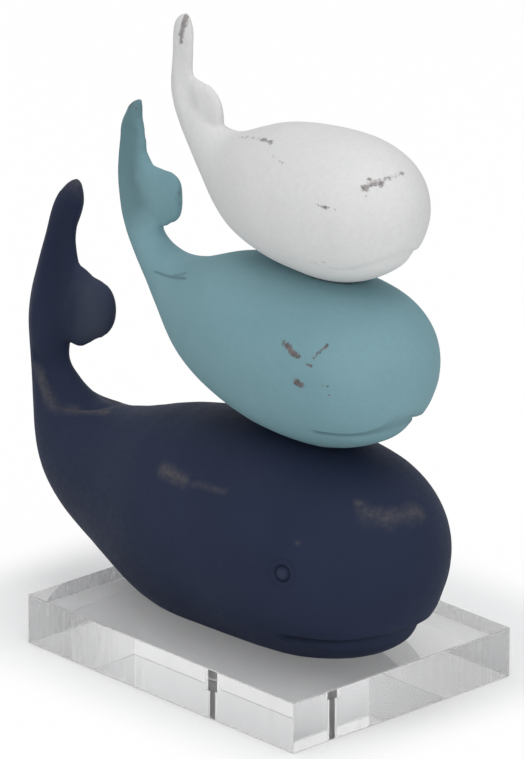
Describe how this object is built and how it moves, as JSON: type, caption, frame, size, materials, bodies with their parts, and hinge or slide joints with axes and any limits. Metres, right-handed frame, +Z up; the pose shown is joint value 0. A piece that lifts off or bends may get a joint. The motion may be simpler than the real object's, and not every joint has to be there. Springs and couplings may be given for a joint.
{
  "type": "stacked whale figurine",
  "caption": "Decorative stack of smooth painted resin whales with upturned tails, one riding on another, screwed to a clear acrylic block.",
  "frame": {"origin": "centre of the block's underside, in the mouth of the screw's counterbore", "axes": "+X along the block's long side towards the whales' noses, +Z up, +Y to the whales' left"},
  "size_m": [0.2201, 0.113, 0.2491],
  "materials": {
    "clear_acrylic": "clear, polished top and sawn sides",
    "steel": "plain steel",
    "brass": "plain brass",
    "navy_paint": "matte distressed paint on cast resin",
    "teal_paint": "matte distressed paint on cast resin",
    "white_paint": "matte distressed paint on cast resin",
    "filler": "dried filler adhesive"
  },
  "bodies": {
    "root": {"acrylic_base": "clear_acrylic", "base_screw": "steel", "threaded_insert": "brass", "navy_whale": "navy_paint", "lower_pin": "steel", "lower_glue_bed": "filler", "teal_whale": "teal_paint", "upper_pin": "steel", "upper_glue_bed": "filler", "white_whale": "white_paint"}
  },
  "joints": []
}
